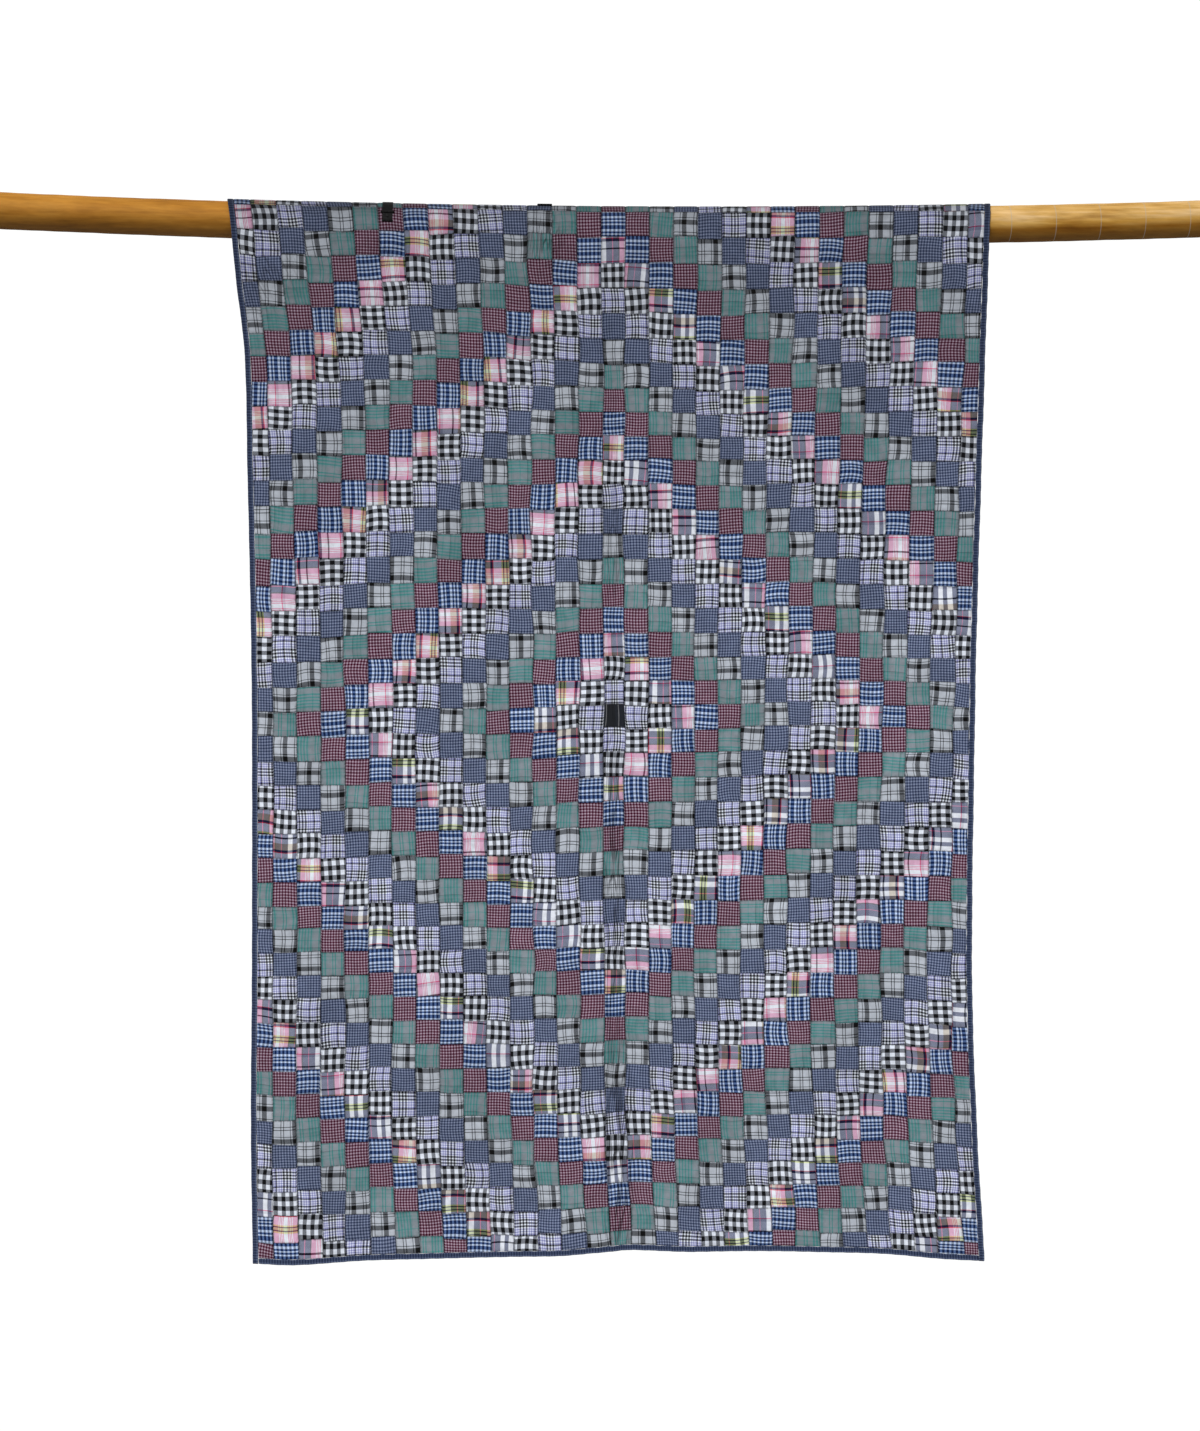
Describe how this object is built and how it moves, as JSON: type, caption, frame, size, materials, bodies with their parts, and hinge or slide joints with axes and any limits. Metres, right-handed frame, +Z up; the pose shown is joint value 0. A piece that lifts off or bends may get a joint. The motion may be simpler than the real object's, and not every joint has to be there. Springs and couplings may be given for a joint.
{
  "type": "patchwork quilt on a wooden pole",
  "caption": "Pieced plaid patchwork quilt with a narrow binding, hung by its top edge over a sagging round wooden pole and held by small black clips.",
  "frame": {"origin": "on the pole's axis, in the middle of the quilt's width", "axes": "+X along the pole to the right as seen from the front, +Y to the back, +Z up; the quilt's front faces -Y"},
  "size_m": [2.64, 0.0992, 2.2043],
  "materials": {
    "patchwork": "pieced cotton plaids and checks, quilted in the seams, matt",
    "binding_cloth": "slate and navy fine check, folded over the edge",
    "wood": "golden brown round pole, satin varnish",
    "black_metal": "black painted spring band"
  },
  "bodies": {
    "root": {"quilt_panel": "patchwork", "binding_left": "binding_cloth", "binding_right": "binding_cloth", "binding_top": "binding_cloth", "binding_bottom": "binding_cloth", "pole": "wood", "clip_left": "black_metal", "clip_middle": "black_metal"}
  },
  "joints": []
}
